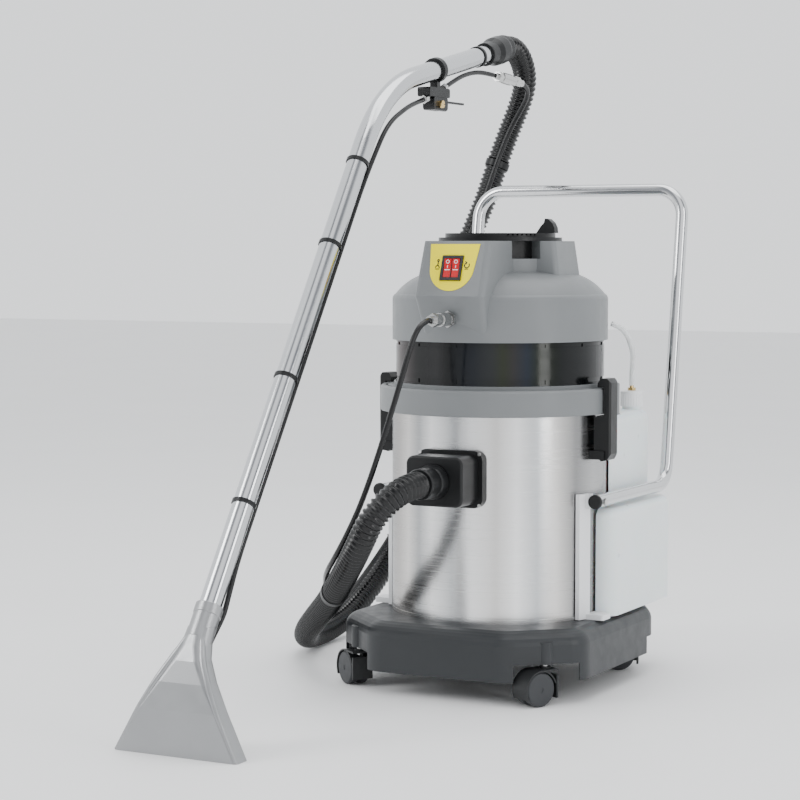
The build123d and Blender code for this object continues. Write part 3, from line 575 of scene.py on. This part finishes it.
def stroke(name, place, points, width):
    outer = []
    inner = []
    for i, (x, y) in enumerate(points):
        ax, ay = points[max(0, i - 1)]
        bx, by = points[min(len(points) - 1, i + 1)]
        length = math.hypot(bx - ax, by - ay)
        nx = -(by - ay) / length * width / 2
        ny = (bx - ax) / length * width / 2
        outer.append((x + nx, y + ny))
        inner.append((x - nx, y - ny))
    return strip(name, place, outer, inner, "black_plastic", LABEL_MARK_LOW, LABEL_MARK_HIGH, closed=False)


for side, body in ((-1, "left_rocker"), (1, "right_rocker")):
    place = on_rocker(side)
    outer = arc(0, 10.4, 3.2, 0, 348.75, 31)
    inner = arc(0, 10.4, 2.2, 0, 348.75, 31)
    ring = strip(body + "_off_mark", place, outer, inner, "white_cap", 0.0, ROCKER_PRINT_AND_HIGHLIGHT_HEIGHT)
    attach(ring, body)
    bar = strip(body + "_on_mark", place, [(-0.6, 0.6), (-0.6, 4.4)], [(0.6, 0.6), (0.6, 4.4)],
                "white_cap", 0.0, ROCKER_PRINT_AND_HIGHLIGHT_HEIGHT, closed=False)
    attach(bar, body)
    # A thin white strip across each rocker below its fold: a painted highlight for the glare band on the
    # glossy switch.
    highlight_strip = strip(body + "_painted_highlight", place, [(-4.6, -3.4), (4.6, -3.4)], [(-4.6, -2.2), (4.6, -2.2)],
                 "white_cap", 0.0, ROCKER_PRINT_AND_HIGHLIGHT_HEIGHT, closed=False)
    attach(highlight_strip, body)

marks = [
    stroke("spray_mark_head", on_panel, arc(-26.0, 13.0, 1.5, 0, 350, 20), 2.0),
    stroke("spray_mark_stem", on_panel, [(-26.0, 11.6), (-26.0, 8.0), (-26.2, 4.4)], 2.0),
    stroke("spray_mark_left_leg", on_panel, [(-26.2, 5.2), (-28.6, 3.4), (-29.8, 0.4)], 1.8),
    stroke("spray_mark_right_leg", on_panel, [(-26.2, 5.2), (-23.8, 3.4), (-22.6, 0.4)], 1.8),
    stroke("spray_mark_foot", on_panel, [(-30.0, -1.4), (-22.4, -1.4)], 1.5),
    stroke("suction_mark_ring", on_panel, arc(26.0, 5.0, 4.2, 110, 400, 28), 1.9),
    stroke("suction_mark_arrow", on_panel, [(22.0, 11.4), (25.6, 9.4), (23.4, 6.4)], 1.8),
    stroke("suction_mark_foot", on_panel, [(22.8, -1.4), (29.2, -1.4)], 1.5),
]
for mark in marks:
    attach(mark, "head")


# ---- floor, world and lights ----
FLOOR_HALF = 15

floor_corners = [(FLOOR_HALF * x, FLOOR_HALF * y, 0) for x, y in ((-1, -1), (1, -1), (1, 1), (-1, 1))]
floor_mesh = bpy.data.meshes.new("floor")
floor_mesh.from_pydata(floor_corners, [], [(0, 1, 2, 3)])
floor = bpy.data.objects.new("floor", floor_mesh)
bpy.context.scene.collection.objects.link(floor)
floor_mesh.materials.append(finish("floor_paint", (0.93, 0.93, 0.93), 0.6, vary=0.01, patch=2.0, grain=60))

WORLD_STOPS = [
    (0.0, (0.93, 0.95, 0.97)), (0.14, (0.95, 0.97, 0.98)),
    (0.19, (0.28, 0.29, 0.31)), (0.235, (0.28, 0.29, 0.31)),
    (0.28, (0.97, 0.98, 1.0)), (0.40, (0.97, 0.98, 1.0)),
    (0.44, (0.25, 0.26, 0.28)), (0.49, (0.25, 0.26, 0.28)),
    (0.54, (0.95, 0.97, 0.99)), (1.0, (0.93, 0.95, 0.97)),
]
WORLD_STRENGTH = 1.5


def studio_world():
    """Bright surroundings with two soft grey sides, which give the metal something to reflect."""
    world = bpy.data.worlds.new("studio")
    world.use_nodes = True
    tree = world.node_tree
    coords = tree.nodes.new("ShaderNodeTexCoord")
    split = tree.nodes.new("ShaderNodeSeparateXYZ")
    tree.links.new(coords.outputs["Generated"], split.inputs["Vector"])
    turn = as_turn(tree, split.outputs["Y"], split.outputs["X"])
    background = tree.nodes["Background"]
    tree.links.new(ramp(tree, turn, WORLD_STOPS), background.inputs["Color"])
    background.inputs["Strength"].default_value = WORLD_STRENGTH
    return world


bpy.context.scene.world = studio_world()


def area_light(name, place, target, width, height, power):
    data = bpy.data.lights.new(name, "AREA")
    data.shape = "RECTANGLE"
    data.size = width
    data.size_y = height
    data.energy = power
    lamp = bpy.data.objects.new(name, data)
    bpy.context.scene.collection.objects.link(lamp)
    lamp.location = place
    lamp.rotation_euler = (target - place).to_track_quat("-Z", "Y").to_euler()


middle = at(0, 0, 500)
area_light("key", at(-2600, -2600, 2600), middle, 1.2, 2.2, 60)
area_light("right_strip", at(3000, -900, 1300), middle, 0.7, 2.4, 30)
area_light("top", at(300, 300, 3200), middle, 2.4, 2.4, 40)
